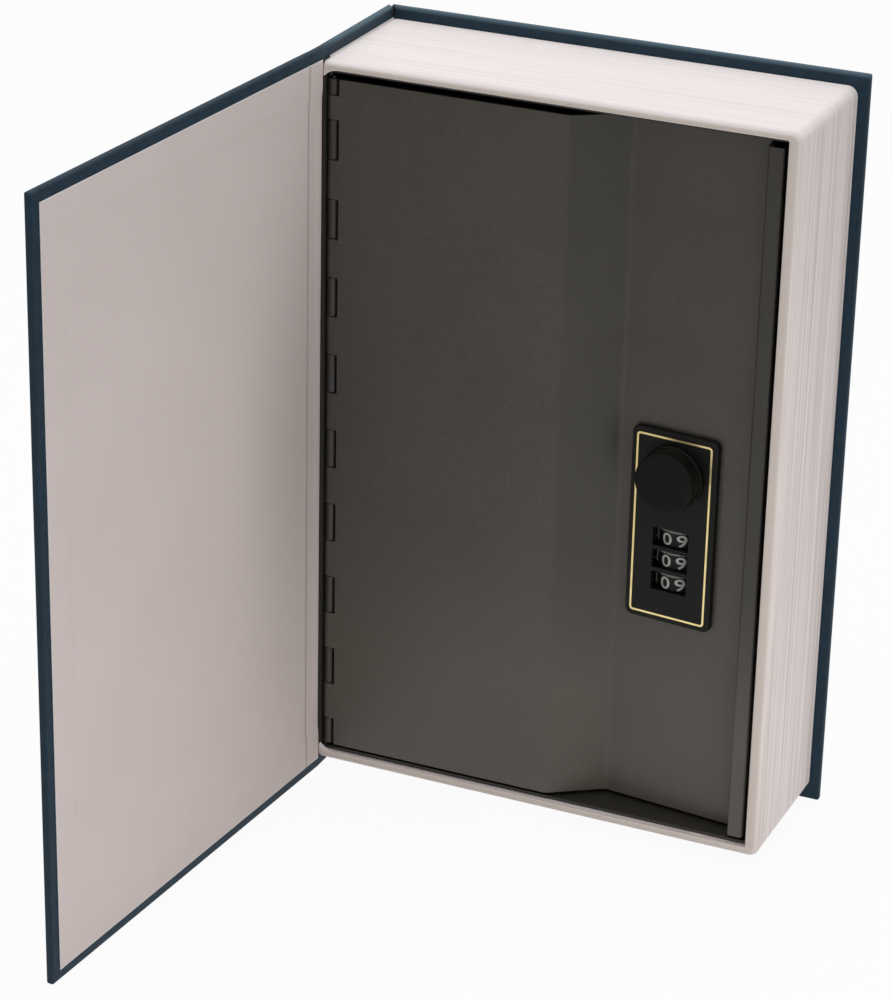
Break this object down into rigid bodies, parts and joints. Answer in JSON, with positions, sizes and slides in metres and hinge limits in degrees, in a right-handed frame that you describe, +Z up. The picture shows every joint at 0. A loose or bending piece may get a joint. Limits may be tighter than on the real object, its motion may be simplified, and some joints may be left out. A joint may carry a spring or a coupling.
{
  "type": "book diversion safe",
  "caption": "Hollow book that hides a steel box: a hinged cloth cover in front of a hinged steel door with a knob and a number-wheel lock.",
  "frame": {"origin": "middle of the footprint of the open book, on the surface that it stands on", "axes": "+Z up from tail to head, +X from the spine to the fore-edge, +Y from the front of the page block to the back cover"},
  "size_m": [0.1656, 0.2042, 0.24],
  "materials": {
    "cover_cloth": "dark blue-green book cloth, matt",
    "grey_board": "raw",
    "endpaper": "smooth off-white",
    "page_plastic": "white, moulded with page lines",
    "grey_steel": "dark grey powder coat, satin",
    "plated_steel": "zinc plated",
    "black_plastic": "black, satin",
    "black_metal": "black, satin, cast"
  },
  "bodies": {
    "case": {"spine_cloth": "cover_cloth", "spine_board": "grey_board", "spine_lining": "endpaper", "front_joint_cloth": "cover_cloth", "back_cloth": "cover_cloth", "back_board": "grey_board", "back_endpaper": "endpaper", "page_frame": "page_plastic", "steel_box": "grey_steel", "hinge_pin": "plated_steel", "catch_bracket": "grey_steel"},
    "front_cover": {"front_cloth": "cover_cloth", "front_board": "grey_board", "front_endpaper": "endpaper"},
    "door": {"door": "grey_steel", "lock_faceplate": "black_plastic", "lock_housing": "black_plastic", "wheel_shaft": "plated_steel", "gate_bar_spring": "plated_steel", "detent_spring": "plated_steel", "faceplate_screw_upper": "plated_steel", "faceplate_screw_lower": "plated_steel"},
    "knob": {"knob": "black_metal", "knob_spindle": "plated_steel", "latch_cam": "plated_steel", "cam_washer": "plated_steel", "cam_nut": "plated_steel"},
    "wheel_1": {"number_wheel_1": "black_plastic", "code_sleeve_1": "plated_steel"},
    "wheel_2": {"number_wheel_2": "black_plastic", "code_sleeve_2": "plated_steel"},
    "wheel_3": {"number_wheel_3": "black_plastic", "code_sleeve_3": "plated_steel"},
    "gate_bar": {"gate_bar": "plated_steel"},
    "reset_lever": {"reset_lever": "plated_steel"}
  },
  "joints": [
    {"name": "cover_hinge", "type": "hinge", "parent": "case", "child": "front_cover", "pos_m": [-0.06947, 0.04978, 0], "axis": [0, 0, -1], "range_deg": [-94, 86]},
    {"name": "door_hinge", "type": "hinge", "parent": "case", "child": "door", "pos_m": [-0.06747, 0.05308, 0], "axis": [0, 0, -1], "range_deg": [0, 90]},
    {"name": "knob_turn", "type": "hinge", "parent": "door", "child": "knob", "pos_m": [0.04357, 0.06028, 0.1213], "axis": [-0.1045, -0.9945, 0], "range_deg": [0, 90]},
    {"name": "gate_bar_slide", "type": "slide", "parent": "door", "child": "gate_bar", "axis": [-0.9945, 0.1045, 0], "range_m": [0, 0.0015]},
    {"name": "wheel_1_turn", "type": "hinge", "parent": "door", "child": "wheel_1", "pos_m": [0.04427, 0.06694, 0.1005], "axis": [0, 0, 1], "continuous": true},
    {"name": "wheel_2_turn", "type": "hinge", "parent": "door", "child": "wheel_2", "pos_m": [0.04427, 0.06694, 0.0932], "axis": [0, 0, 1], "continuous": true},
    {"name": "wheel_3_turn", "type": "hinge", "parent": "door", "child": "wheel_3", "pos_m": [0.04427, 0.06694, 0.0859], "axis": [0, 0, 1], "continuous": true},
    {"name": "reset_lever_slide", "type": "slide", "parent": "door", "child": "reset_lever", "axis": [0.9945, -0.1045, 0], "range_m": [0, 0.003]}
  ],
  "couplings": [
    {"joint": "gate_bar_slide", "follows": "knob_turn", "m_per_rad": 0.00095493}
  ]
}
